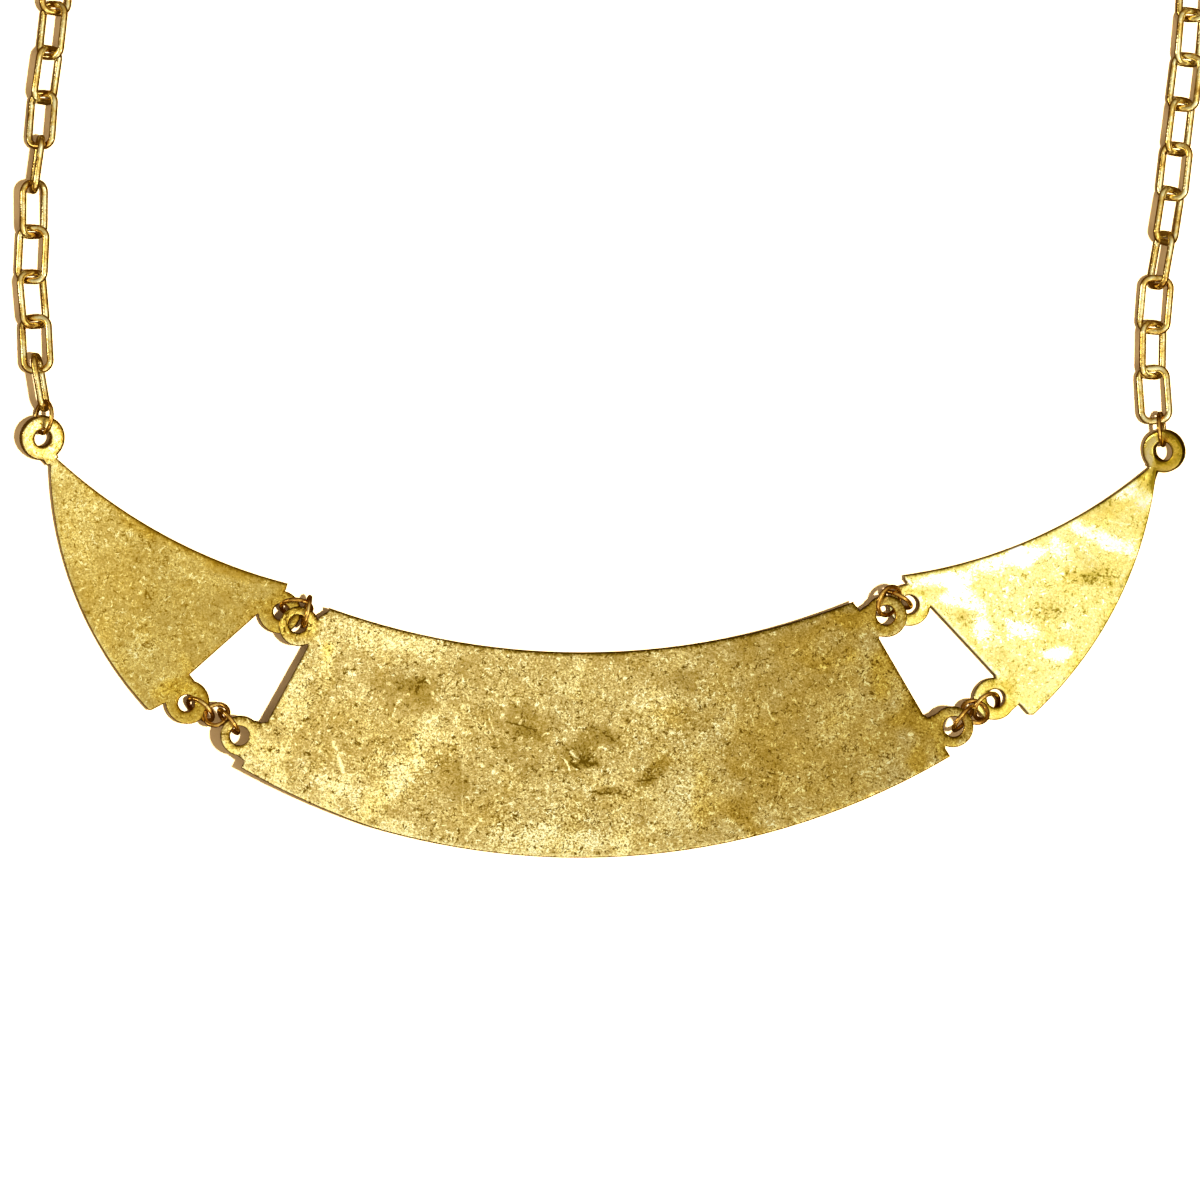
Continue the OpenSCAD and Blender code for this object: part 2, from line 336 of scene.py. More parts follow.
def even_loop(loop):
    """The loop with evenly spaced points between its corners."""
    step = np.linalg.norm(np.roll(loop, -1, 0) - loop, axis=1)
    loop = loop[step > LEAST_STEP]
    ahead = np.roll(loop, -1, 0) - loop
    behind = np.roll(ahead, 1, 0)
    cross = behind[:, 0] * ahead[:, 1] - behind[:, 1] * ahead[:, 0]
    turn = np.abs(np.arctan2(cross, (behind * ahead).sum(1)))
    corners = list(np.flatnonzero(turn > CORNER)) or [0]
    made = []
    for a, b in zip(corners, corners[1:] + [corners[0] + len(loop)]):
        run = loop[np.arange(a, b + 1) % len(loop)]
        along = np.concatenate([[0], np.cumsum(np.linalg.norm(np.diff(run, axis=0), axis=1))])
        count = max(1, round(along[-1] / RIM_STEP))
        places = np.linspace(0, along[-1], count, endpoint=False)
        made.append(np.column_stack([np.interp(places, along, run[:, k]) for k in (0, 1)]))
    return np.concatenate(made)


def inset(loop, depth):
    """The loop moved in from the metal's edge by a depth; metal lies to the left of the way round."""
    ahead = np.roll(loop, -1, 0) - loop
    ahead /= np.linalg.norm(ahead, axis=1)[:, None]
    behind = np.roll(ahead, 1, 0)
    mean = ahead + behind
    mean /= np.maximum(np.linalg.norm(mean, axis=1), 1e-9)[:, None]
    stretch = 1 / np.maximum((mean * ahead).sum(1), MITRE)
    return loop + np.column_stack([-mean[:, 1], mean[:, 0]]) * (depth * stretch)[:, None]


def inside(points, loops):
    """Even-odd test of points against closed loops."""
    hit = np.zeros(len(points), bool)
    for loop in loops:
        for (ax, ay), (bx, by) in zip(loop, np.roll(loop, -1, 0)):
            if ay == by:
                continue
            crosses = (points[:, 1] < ay) != (points[:, 1] < by)
            hit ^= crosses & (points[:, 0] < ax + (points[:, 1] - ay) * (bx - ax) / (by - ay))
    return hit


def nearest_edge(points, loops):
    """Distance of points from the nearest edge point of the loops, and the way out of the metal there."""
    rim = np.concatenate(loops)
    ahead = np.concatenate([np.roll(loop, -1, 0) - np.roll(loop, 1, 0) for loop in loops])
    out = np.column_stack([ahead[:, 1], -ahead[:, 0]]) / np.linalg.norm(ahead, axis=1)[:, None]
    away, which = [], []
    for block in np.array_split(points, POINT_BLOCKS):
        square = ((block[:, None] - rim[None]) ** 2).sum(2)
        which.append(square.argmin(1))
        away.append(np.sqrt(square.min(1)))
    return np.concatenate(away), out[np.concatenate(which)]


def face_points(loops):
    """Points on an even triangular grid over the face, clear of its rim."""
    low, high = loops[0].min(0), loops[0].max(0)
    rows = np.arange(low[1], high[1], FACE_STEP * math.sqrt(3) / 2)
    columns = np.arange(low[0], high[0], FACE_STEP)
    grid = np.array([(x + (i % 2) * FACE_STEP / 2, y) for i, y in enumerate(rows) for x in columns])
    grid = grid[inside(grid, loops)]
    return grid[nearest_edge(grid, loops)[0] > FACE_CLEAR * RIM_STEP]


# Hammered relief: wave lengths and heights in mm
WAVES = {
    "panel_center": ((17, 0.10), (6.5, 0.035), (2.2, 0.010)),
    "panel_left": ((14, 0.08), (5.5, 0.025), (2.0, 0.010)),
    "panel_right": ((13, 0.11), (6.0, 0.060), (2.4, 0.012)),
}
# Single dents as pixel x, pixel y, radius and depth in mm
DENTS = {
    "panel_center": (
        (400, 684, 2.6, 0.14), (574, 758, 1.4, 0.12), (548, 722, 1.8, 0.06), (640, 772, 2.2, 0.08),
        (605, 745, 2.4, 0.06), (690, 720, 3.0, 0.05), (520, 775, 2.0, 0.05), (668, 690, 2.6, 0.05),
    ),
    "panel_left": (
        (150, 585, 3.5, 0.06), (115, 640, 3.0, 0.05), (215, 640, 3.5, 0.05),
    ),
    "panel_right": (
        (1083, 573, 2.2, 0.12), (1040, 612, 2.6, 0.08), (1010, 645, 2.2, 0.06),
    ),
}
DENT_FALL = 1.5  # how fast a dent runs out round its middle
# Distances from the middle of a lug's hole where the relief begins and where it is full
LUG_CLEAR = (3.2 * MM, 6.5 * MM)


def relief(plate, x, y, clear):
    """Height of the hammered relief, faded out towards the lugs."""
    made = np.zeros(len(x))
    for length, height in WAVES[plate.node]:
        scale = 1 / (length * MM)
        made += [height * MM * noise.noise(Vector((a * scale, b * scale, length))) for a, b in zip(x, y)]
    for px, py, radius, depth in DENTS[plate.node]:
        cx, cy = photo_point(px, py)
        away = np.hypot(x - cx, y - cy) / (radius * MM)
        made -= depth * MM * np.exp(-away ** 2 * DENT_FALL)
    return made * clear


def lug_clearance(x, y, loops):
    """0 on the lugs, 1 well away from them; the lugs are where the holes are."""
    made = np.ones(len(x))
    for hole in loops[1:]:
        middle = hole.mean(0)
        away = np.hypot(x - middle[0], y - middle[1])
        made *= smoothstep(*LUG_CLEAR, away)
    return made


def plate_mesh(plate):
    """A closed mesh of the plate, with even top and bottom faces and a rounded rim, and its outlines."""
    outer = [even_loop(loop) for loop in outline_loops(plate.node)]
    inner = [inset(loop, EDGE_R) for loop in outer]
    grid = face_points(inner)
    flat = np.concatenate(inner + [grid])
    starts = np.cumsum([0] + [len(loop) for loop in inner])
    edges = [(s + i, s + (i + 1) % len(loop)) for s, loop in zip(starts, inner) for i in range(len(loop))]
    points = [Vector(p) for p in flat / MM]
    verts, _, tris, origin, _, _ = geometry.delaunay_2d_cdt(points, edges, [], 0, FINE_JOIN)
    place = {source: i for i, sources in enumerate(origin) for source in sources}
    made = np.array([v[:] for v in verts]) * MM
    middles = made[np.array(tris)].mean(1)
    tris = [t for t, keep in zip(tris, inside(middles, inner)) if keep]

    def lift(points, side, depth=0.0):
        """Points on the top (1) or bottom (-1) face, a depth under its surface."""
        x, y = points[:, 0], points[:, 1]
        clear = lug_clearance(x, y, outer)
        raised = relief(plate, x, y, clear)
        top = plate.sheet_top(x, y) + raised
        low = np.maximum(plate.sheet_bottom(x, y) + raised, 0)
        shift = np.zeros((len(x), 2))
        if plate.tip:
            share, n = plate.tip.share(x, y), plate.tip.normal
            lug_top = plate.tip.top(x, y)
            top = top * (1 - share) + lug_top * share
            low = low * (1 - share) + (lug_top - SHEET * n.z) * share
            shift -= np.outer(share, (SHEET * n.x, SHEET * n.y))
        if side > 0:
            return np.column_stack([x, y, top - depth])
        return np.column_stack([x + shift[:, 0], y + shift[:, 1], low + depth])

    bm = bmesh.new()
    rows = {}
    for side in (1, -1):
        face = [bm.verts.new(p) for p in lift(made, side)]
        for tri in tris:
            bm.faces.new([face[i] for i in (tri if side > 0 else tri[::-1])])
        rows[side] = face
    for start, outside, within in zip(starts, outer, inner):
        ring = [place[start + i] for i in range(len(within))]
        strips = [[rows[1][i] for i in ring]]
        for side, turns in ((1, range(1, EDGE_ROWS + 1)), (-1, range(EDGE_ROWS, 0, -1))):
            for k in turns:
                angle = k / EDGE_ROWS * math.pi / 2
                points = within + (outside - within) * math.sin(angle)
                strips.append([bm.verts.new(p) for p in lift(points, side, EDGE_R * (1 - math.cos(angle)))])
        strips.append([rows[-1][i] for i in ring])
        for upper, lower in zip(strips, strips[1:]):
            for i in range(len(ring)):
                j = (i + 1) % len(ring)
                bm.faces.new([upper[i], lower[i], lower[j], upper[j]])
    loose = [v for v in bm.verts if not v.link_faces]
    bmesh.ops.delete(bm, geom=loose, context="VERTS")
    bmesh.ops.recalc_face_normals(bm, faces=bm.faces)
    return smooth_mesh(plate.node, bm), outer


# Brass finishes

# Each plate's brass from tarnished hollow to burnished high spot, as display colours, which also carry
# painted shade and painted highlight
DEEP_GILT = ((0.08, "#664E0A"), (0.22, "#9C8230"), (0.40, "#BAA05A"), (0.53, "#D1BB77"), (0.68, "#F1E29C"),
             (0.80, "#FBF2B0"), (0.92, "#FFFDCC"))
WARM_GILT = ((0.08, "#8A6B16"), (0.25, "#AF8F30"), (0.42, "#C0A350"), (0.55, "#CFB55F"), (0.68, "#E2CB75"),
             (0.82, "#F5E28C"), (0.95, "#FFF6B4"))
# the right plate's palest stops are white: painted highlight on its burnished spots
PALE_GILT = ((0.05, "#8E7A1C"), (0.22, "#D4C256"), (0.38, "#F2DF86"), (0.52, "#F8F0A2"), (0.66, "#FCF9BE"),
             (0.78, "#FFFFEA"), (0.88, "#FFFFFF"))
# Base tone, contrast, tones, roughness where dull and where bright
FINISH = {
    "panel_center": (0.47, 1.20, DEEP_GILT, 0.34, 0.22),
    "panel_left": (0.53, 1.05, WARM_GILT, 0.34, 0.25),
    "panel_right": (0.46, 0.7, PALE_GILT, 0.34, 0.14),
}
SHINE_TONES = (0.3, 0.8)  # the tones where the brass is fully dull and fully bright
GRAIN_BUMP = (0.5, 0.08 * MM)  # strength and height
# Where the gilding is thick the brass turns a deeper gold, in clouds: their size in mm, weight and middle
THICK_GILT = "#FFF2A8"
THICK_CLOUDS = (6.0, 1.2, 0.44)
# The grain of a hammered and wiped back: size in mm, detail, roughness, distortion, share of tone, of height
BROAD = {
    "clouds": (14.0, 2, 0.5, 0.6, 0.10, 0.0),
    "blows": (4.0, 4, 0.65, 1.5, 0.36, 0.70),
}
FINE = {
    "strokes": (1.1, 4, 0.78, 1.4, 0.60, 0.60),
    "grit": (0.26, 1, 0.7, 0.4, 0.85, 0.15),
}
# The broad tones where the fine grain is weakest and strongest, and its contrast there
CRINKLE_TONES = (-0.14, 0.18)
CRINKLE_CONTRAST = (0.55, 1.5)
# Pits: size in mm, the noise at their edge and inside them, change of tone and share of height
PIT_SIZE = 0.5
PIT_EDGE = (0.50, 0.64)
PIT_TONE = -0.42
PIT_HEIGHT = -0.5
# Broken curled lines: size of the curls in mm, distortion, half width in noise, size of the breaks in mm, the
# noise where a break ends, change of tone
CURLS = {
    "creases": (1.9, 1.6, 0.022, 1.1, 0.53, -0.34),
    "flakes": (1.1, 0.9, 0.030, 0.8, 0.55, 0.40),
    "nicks": (0.8, 0.7, 0.034, 0.7, 0.57, -0.34),
}
CURL_FADE = 0.06  # how much more noise until the line is whole
CURL_SHIFT = 31.0  # mm between the parts of the noise for each kind of line

# Some of the patches are painted highlights and painted shade, as noted at each.
# Broad light and dark patches as pixel x, pixel y, half width, half height, turn in degrees, change of tone
PATCHES = {
    "panel_center": (
        # the left end, lightened as painted highlight, and the pale band along the top, with a few darker
        # spots
        (300, 692, 16, 40, -22, 0.23), (262, 750, 32, 24, -20, 0.21), (310, 735, 12, 16, 0, -0.06),
        (366, 636, 80, 18, -12, 0.12), (402, 641, 40, 11, -12, 0.08), (434, 660, 20, 9, -10, 0.07),
        (466, 670, 16, 14, 0, -0.09), (330, 782, 28, 12, -15, 0.15),
        # the bright slanting band left of the middle, and small spots round it
        (424, 735, 13, 34, -22, 0.20), (405, 765, 16, 24, -24, 0.18), (375, 791, 36, 18, 10, 0.17),
        (397, 826, 26, 10, -14, 0.12), (466, 724, 16, 14, 0, 0.06), (448, 726, 10, 12, 0, 0.06),
        (446, 688, 12, 12, 0, 0.05), (430, 708, 10, 12, 0, -0.07), (370, 700, 20, 12, 0, 0.07),
        (494, 718, 11, 20, 0, -0.10), (378, 752, 13, 13, 0, -0.10),
        # the bright foot of the middle, and paler spots above it
        (560, 841, 54, 14, 0, 0.22), (508, 836, 36, 11, 5, 0.11), (604, 836, 26, 12, 8, 0.08),
        (672, 810, 28, 22, 15, 0.10), (690, 765, 20, 24, 0, 0.06), (650, 700, 24, 13, -20, 0.11),
        (568, 680, 12, 14, 0, 0.06),
        # brown hollows left of the middle, their darkening partly painted shade of the dents
        (408, 693, 34, 20, 0, -0.14), (402, 684, 20, 8, 0, -0.06), (455, 782, 17, 20, 0, -0.11),
        (525, 724, 36, 15, -12, -0.13), (522, 750, 20, 20, 0, -0.11), (322, 742, 20, 24, 0, -0.03),
        # the deep hollow in the middle and the creases below it, darkened as painted shade of the relief, and
        # spots round them
        (584, 743, 24, 14, 15, -0.20), (568, 768, 14, 10, 0, -0.14), (620, 752, 12, 14, 0, -0.07),
        (606, 792, 22, 5, 2, -0.20), (649, 777, 15, 7, 28, -0.21), (605, 656, 14, 8, 0, -0.10),
        (690, 682, 15, 14, 0, -0.09), (690, 728, 14, 14, 0, -0.09), (718, 826, 22, 14, 0, -0.05),
        (576, 668, 8, 16, 0, 0.09), (620, 808, 10, 10, 0, 0.07), (376, 814, 20, 9, -20, 0.10),
        # the right half, darkened as painted shade, and paler spots on it
        (790, 715, 105, 110, 0, -0.06), (800, 626, 110, 13, 17, -0.06), (752, 790, 34, 40, 25, -0.05),
        (775, 735, 46, 26, 0, -0.04), (912, 722, 26, 20, 0, -0.06), (866, 668, 24, 18, 0, 0.08),
        (850, 700, 18, 12, 0, 0.09), (832, 726, 14, 10, 0, 0.06), (730, 722, 12, 14, 0, 0.07),
    ),
    "panel_left": (
        # the lug and neck of the tip, lightened as painted highlight, with a thin painted highlight streak on
        # the neck
        (66, 472, 16, 14, 0, 0.24), (68, 464, 18, 5, -38, 0.3), (42, 440, 28, 26, 0, 0.20),
        # spots near the tip
        (84, 515, 30, 52, -10, 0.07), (126, 538, 10, 14, 20, 0.06), (104, 530, 12, 16, 0, -0.06),
        (146, 562, 12, 10, 0, -0.06), (84, 598, 10, 30, 14, -0.06),
        # the paler middle and foot
        (175, 582, 28, 36, 0, 0.05), (146, 652, 24, 16, 15, 0.16), (173, 683, 22, 16, 0, 0.12),
        (100, 605, 11, 60, 15, 0.04),
        # the brown upper edge and the hollows below it
        (215, 558, 95, 8, -24, -0.13), (215, 605, 24, 16, 0, -0.05), (196, 640, 14, 10, 0, -0.03),
    ),
    "panel_right": (
        # burnished spots: smoother, and lightened towards white as painted highlights
        (929, 581, 24, 7, 4, 0.38), (955, 576, 16, 8, 10, 0.34), (995, 563, 26, 11, 15, 0.40),
        (1035, 552, 24, 9, 12, 0.40), (1055, 541, 7, 6, 0, 0.34), (957, 600, 28, 8, -4, 0.38),
        (983, 629, 10, 14, 0, 0.36), (1023, 630, 18, 7, -12, 0.38), (1052, 653, 17, 7, 6, 0.40),
        (1078, 529, 12, 6, -30, 0.36), (1115, 544, 27, 9, -25, 0.42), (1145, 500, 7, 10, 0, 0.38),
        (1126, 493, 14, 6, 35, 0.34), (1066, 626, 7, 5, 0, 0.20),
        # dull places between them
        (1090, 577, 18, 9, 10, -0.14), (1110, 585, 24, 10, 20, -0.06), (1040, 611, 22, 7, 5, -0.05),
        (1100, 508, 20, 10, 30, -0.10), (962, 617, 12, 8, -40, -0.06), (1000, 690, 14, 10, 0, -0.10),
        # the darker lug of the tip with a painted highlight line at its left, and the dark neck
        (1166, 450, 22, 24, 0, -0.18), (1150, 455, 5, 17, -6, 0.60), (1149, 478, 10, 14, -20, -0.40),
        # a paler spot between the dull places
        (1120, 575, 12, 8, 0, 0.06),
    ),
}
# Clusters of fine dark pits, in the same columns with their strength last
PITS = {
    "panel_center": (
        (575, 752, 14, 12, 0, 0.8), (402, 684, 20, 8, 0, 0.5), (610, 792, 22, 5, 8, 0.8),
        (520, 800, 50, 30, 0, 0.35), (310, 670, 20, 50, 20, 0.3), (830, 660, 50, 30, 20, 0.3),
    ),
    "panel_left": (
        (150, 600, 70, 70, 0, 0.35), (250, 595, 30, 12, 0, 0.5),
    ),
    "panel_right": (
        (1100, 580, 26, 13, 10, 1.0), (1082, 577, 7, 6, 0, 0.9), (1041, 611, 24, 6, 5, 1.0),
        (1105, 504, 12, 4, 25, 0.9), (962, 618, 12, 7, -40, 0.8), (1000, 685, 14, 12, 0, 0.6),
    ),
}
# Where the gilding is thick, in the same columns with the share of deep gold last
THICK = {
    "panel_center": (
        (885, 616, 26, 26, 0, 0.9), (300, 626, 22, 22, 0, 0.9), (952, 726, 24, 24, 0, 0.7),
        (242, 735, 20, 20, 0, 0.5), (912, 700, 26, 85, 28, 0.7), (812, 735, 105, 120, 0, 0.4),
        (850, 632, 60, 18, 20, 0.4), (726, 800, 30, 32, 0, 0.3), (290, 730, 45, 60, -20, 0.22),
        (400, 765, 40, 60, -20, 0.2),
    ),
    "panel_left": (
        (282, 612, 28, 28, 0, 0.8), (188, 703, 26, 26, 0, 0.8), (215, 562, 95, 8, -24, 0.6),
        (130, 520, 34, 6, -40, 0.4), (108, 640, 10, 60, 25, 0.2),
    ),
    "panel_right": (
        (909, 605, 22, 22, 0, 0.6), (994, 699, 22, 22, 0, 0.7), (1163, 451, 24, 26, 0, 0.9),
        (1110, 515, 30, 12, 30, 0.4), (1110, 575, 40, 24, 20, 0.25),
    ),
}
# Where the surface is crinkled more than elsewhere, in the same columns with the added contrast last
CRINKLES = {
    "panel_center": (
        (560, 832, 85, 20, 0, 0.70), (404, 768, 32, 44, -20, 0.40), (570, 745, 100, 50, 0, 0.10),
        (695, 745, 62, 70, 0, 0.24), (790, 785, 70, 34, 15, 0.10),
    ),
    "panel_left": (
        (120, 520, 60, 60, 0, 0.15),
    ),
    "panel_right": (
        (1070, 590, 110, 90, 0, 0.20),
    ),
}
# Scratches, and painted relief shade and highlight, as pixel x and y of one end and of the other, width in
# pixels, change of tone
SCRATCHES_AND_PAINTED_RELIEF = {
    "panel_center": (
        (334, 742, 344, 772, 4.0, 0.42), (339, 759, 361, 764, 1.6, 0.25), (766, 703, 773, 720, 2.0, 0.30),
        (783, 782, 779, 795, 2.0, 0.30), (488, 714, 499, 743, 1.8, 0.22), (677, 786, 690, 788, 2.2, 0.32),
        (463, 690, 463, 815, 1.4, 0.12), (510, 668, 506, 684, 1.6, 0.20), (466, 838, 478, 823, 1.8, 0.25),
        # on these lines, the dark lines round the middle's hollows and on its creases and the bright and dark
        # marks beside the dents are painted shade and painted highlight of the relief
        (506, 721, 536, 730, 1.6, -0.25), (603, 733, 616, 741, 1.8, -0.25),
        (616, 741, 627, 728, 1.6, -0.22), (592, 792, 624, 794, 2.0, -0.30),
        (638, 781, 656, 778, 2.4, -0.32), (565, 759, 570, 769, 2.4, 0.50), (570, 752, 578, 759, 2.2, 0.45),
        (572, 763, 580, 769, 2.4, -0.45), (547, 787, 547, 799, 3.0, 0.25), (607, 815, 621, 808, 2.2, 0.35),
        (650, 828, 655, 821, 2.4, 0.40), (493, 807, 514, 803, 1.8, 0.30), (521, 821, 542, 824, 2.0, 0.28),
        (510, 696, 545, 697, 1.2, -0.16), (428, 680, 429, 682, 3.0, 0.45), (418, 683, 426, 679, 1.8, -0.35),
        (633, 769, 634, 771, 3.0, 0.40), (481, 764, 483, 766, 3.2, 0.35), (354, 706, 355, 708, 2.6, 0.35),
    ),
    "panel_left": (
        (158, 572, 164, 590, 1.4, 0.16), (104, 610, 112, 640, 1.4, 0.12),
    ),
    "panel_right": (
        (1108, 521, 1130, 525, 2.0, 0.22), (1011, 676, 1030, 651, 1.6, -0.12),
        (1086, 554, 1097, 561, 1.8, 0.22),
    ),
}
# these three hold for the painted relief lines as well as for the scratches
LINE_EDGE = (0.2, 0.6)  # where a scratch begins to fade and ends beside its line, in widths
SHAKE_SIZE = 0.7  # mm, the waves that shake the scratches
SHAKE_REACH = 0.7  # mm, about how far they do
# Patches fade between these shares of their half widths, with noise that makes their borders ragged
PATCH_EDGE = (0.45, 1.35)
RAGGED_SIZE = 3.2 * MM
RAGGED_SHARE = 0.6  # of the distance
RAGGED = 0.35  # everywhere
# Rims with painted shade and painted highlight: a fine dark outline and a softer band, each from where it
# begins to fade to where it is gone
RIM_LINE = (0.02 * MM, 0.20 * MM)
RIM_BAND = (0.18 * MM, 0.56 * MM)
LINE_DARK = 0.4  # all round
BAND_DARK = (0.15, 0.85)  # all round, and on rims that face the dark way
RIM_PAINTED_LIGHT_TONE = -0.42
# The way that a plate's bands of painted shade face, and how much darker the rims opposite have their painted
# shade outline
# rims facing well away from that way get a band of painted highlight instead
RIM_PAINTED_LIGHT = {
    "panel_center": ((0.50, 0.87), 1.3),
    "panel_left": ((0.80, 0.60), 0.0),
    "panel_right": ((0.75, 0.66), 1.3),
}


def patch_sum(table, x, y):
    """Adds up the patches of a table at some points, with ragged borders."""
    made = np.zeros(len(x))
    wobble = np.array([noise.noise(Vector((a / RAGGED_SIZE, b / RAGGED_SIZE, 7))) for a, b in zip(x, y)])
    for px, py, half_w, half_h, turn, amount in table:
        cx, cy = photo_point(px, py)
        c, s = math.cos(math.radians(turn)), math.sin(math.radians(turn))
        along = ((x - cx) * c + (y - cy) * s) / (half_w * PX)
        across = (-(x - cx) * s + (y - cy) * c) / (half_h * PX)
        away = np.hypot(along, across) * (1 + RAGGED_SHARE * wobble) + RAGGED * wobble
        made += amount * (1 - smoothstep(*PATCH_EDGE, away))
    return made


def paint(mesh, name, values):
    """Gives the points of a mesh values that a material reads under the name."""
    layer = mesh.attributes.new(name, "FLOAT", "POINT")
    layer.data.foreach_set("value", np.asarray(values, dtype=np.float32))


def paint_plate(mesh, name, loops):
    """Paints a plate's tones, pits, thick gilding, crinkles, and the painted shade and highlight of its rims.
    """
    corners = np.array([v.co[:2] for v in mesh.vertices])
    x, y = corners[:, 0], corners[:, 1]
    paint(mesh, "tone", patch_sum(PATCHES[name], x, y))
    paint(mesh, "pits", np.clip(patch_sum(PITS[name], x, y), 0, 1))
    paint(mesh, "thick", patch_sum(THICK[name], x, y))
    paint(mesh, "crinkle", patch_sum(CRINKLES[name], x, y))
    away, out = nearest_edge(corners, loops)
    dark_way, dark_line = RIM_PAINTED_LIGHT[name]
    # the rims' painted light: a dark outline of painted shade all round, darkest on rims facing away from the
    # dark way, and a band that is painted shade on rims facing that way and painted highlight on rims facing
    # well away
    facing = out @ dark_way
    line = (LINE_DARK + dark_line * np.maximum(-facing, 0)) * (1 - smoothstep(*RIM_LINE, away))
    band = (BAND_DARK[0] + BAND_DARK[1] * facing) * (1 - smoothstep(*RIM_BAND, away))
    paint(mesh, "rim", line + band)


def total(tree, terms):
    """Adds up outputs, each less its own middle and times its weight."""
    run = 0.0
    for output, weight, middle in terms:
        run = add(tree, "ShaderNodeMath", (output, weight, run), operation="MULTIPLY_ADD")
    shift = -sum(weight * middle for _, weight, middle in terms)
    return add(tree, "ShaderNodeMath", (run, shift), operation="ADD")


def line_mask(tree, place_mm, start, end, width):
    """1 along the line between two places on the table, 0 beside it."""
    a, b = (Vector((*place, 0)) / MM for place in (start, end))
    line = (b - a).normalized()
    flat = add(tree, "ShaderNodeVectorMath", (place_mm, (1, 1, 0)), operation="MULTIPLY")
    rel = add(tree, "ShaderNodeVectorMath", (flat, a), operation="SUBTRACT")
    along = add(tree, "ShaderNodeVectorMath", (rel, line), operation="DOT_PRODUCT").outputs["Value"]
    held = add(tree, "ShaderNodeClamp", (along, 0.0, (b - a).length))
    foot = add(tree, "ShaderNodeVectorMath", {0: line, "Scale": held}, operation="SCALE")
    away = add(tree, "ShaderNodeVectorMath", (rel, foot), operation="DISTANCE").outputs["Value"]
    full, gone = (share * width * PX / MM for share in LINE_EDGE)
    return add(tree, "ShaderNodeMapRange", (away, full, gone, 1.0, 0.0))


def scratch_and_relief_terms(tree, mm, table):
    """The scratches and painted relief shade and highlight of a table, slightly shaken, as terms of tone."""
    shake = add(tree, "ShaderNodeTexNoise", {"Vector": mm, "Scale": 1 / SHAKE_SIZE, "Detail": 2})
    centred = add(tree, "ShaderNodeVectorMath", (shake.outputs["Color"], (0.5,) * 3), operation="SUBTRACT")
    shaken = add(tree, "ShaderNodeVectorMath", (centred, (SHAKE_REACH,) * 3, mm), operation="MULTIPLY_ADD")
    return [(line_mask(tree, shaken, photo_point(ax, ay), photo_point(bx, by), width), change, 0.0)
            for ax, ay, bx, by, width, change in table]


def curl_terms(tree, mm, contrast):
    """The broken curled lines as terms of tone."""
    terms = []
    for number, (size, bend, width, gap, begin, change) in enumerate(CURLS.values()):
        own = add(tree, "ShaderNodeVectorMath", (mm, (CURL_SHIFT * number, 0, 0)), operation="ADD")
        curl = add(tree, "ShaderNodeTexNoise", {"Vector": own, "Scale": 1 / size, "Detail": 2,
                                                "Distortion": bend})
        line = add(tree, "ShaderNodeMath", (curl, 0.5, width), operation="COMPARE")
        gaps = add(tree, "ShaderNodeTexNoise", {"Vector": own, "Scale": 1 / gap, "Detail": 3})
        kept = add(tree, "ShaderNodeMapRange", (gaps, begin, begin + CURL_FADE))
        broken = add(tree, "ShaderNodeMath", (line, kept), operation="MULTIPLY")
        terms.append((broken, change * contrast, 0.0))
    return terms


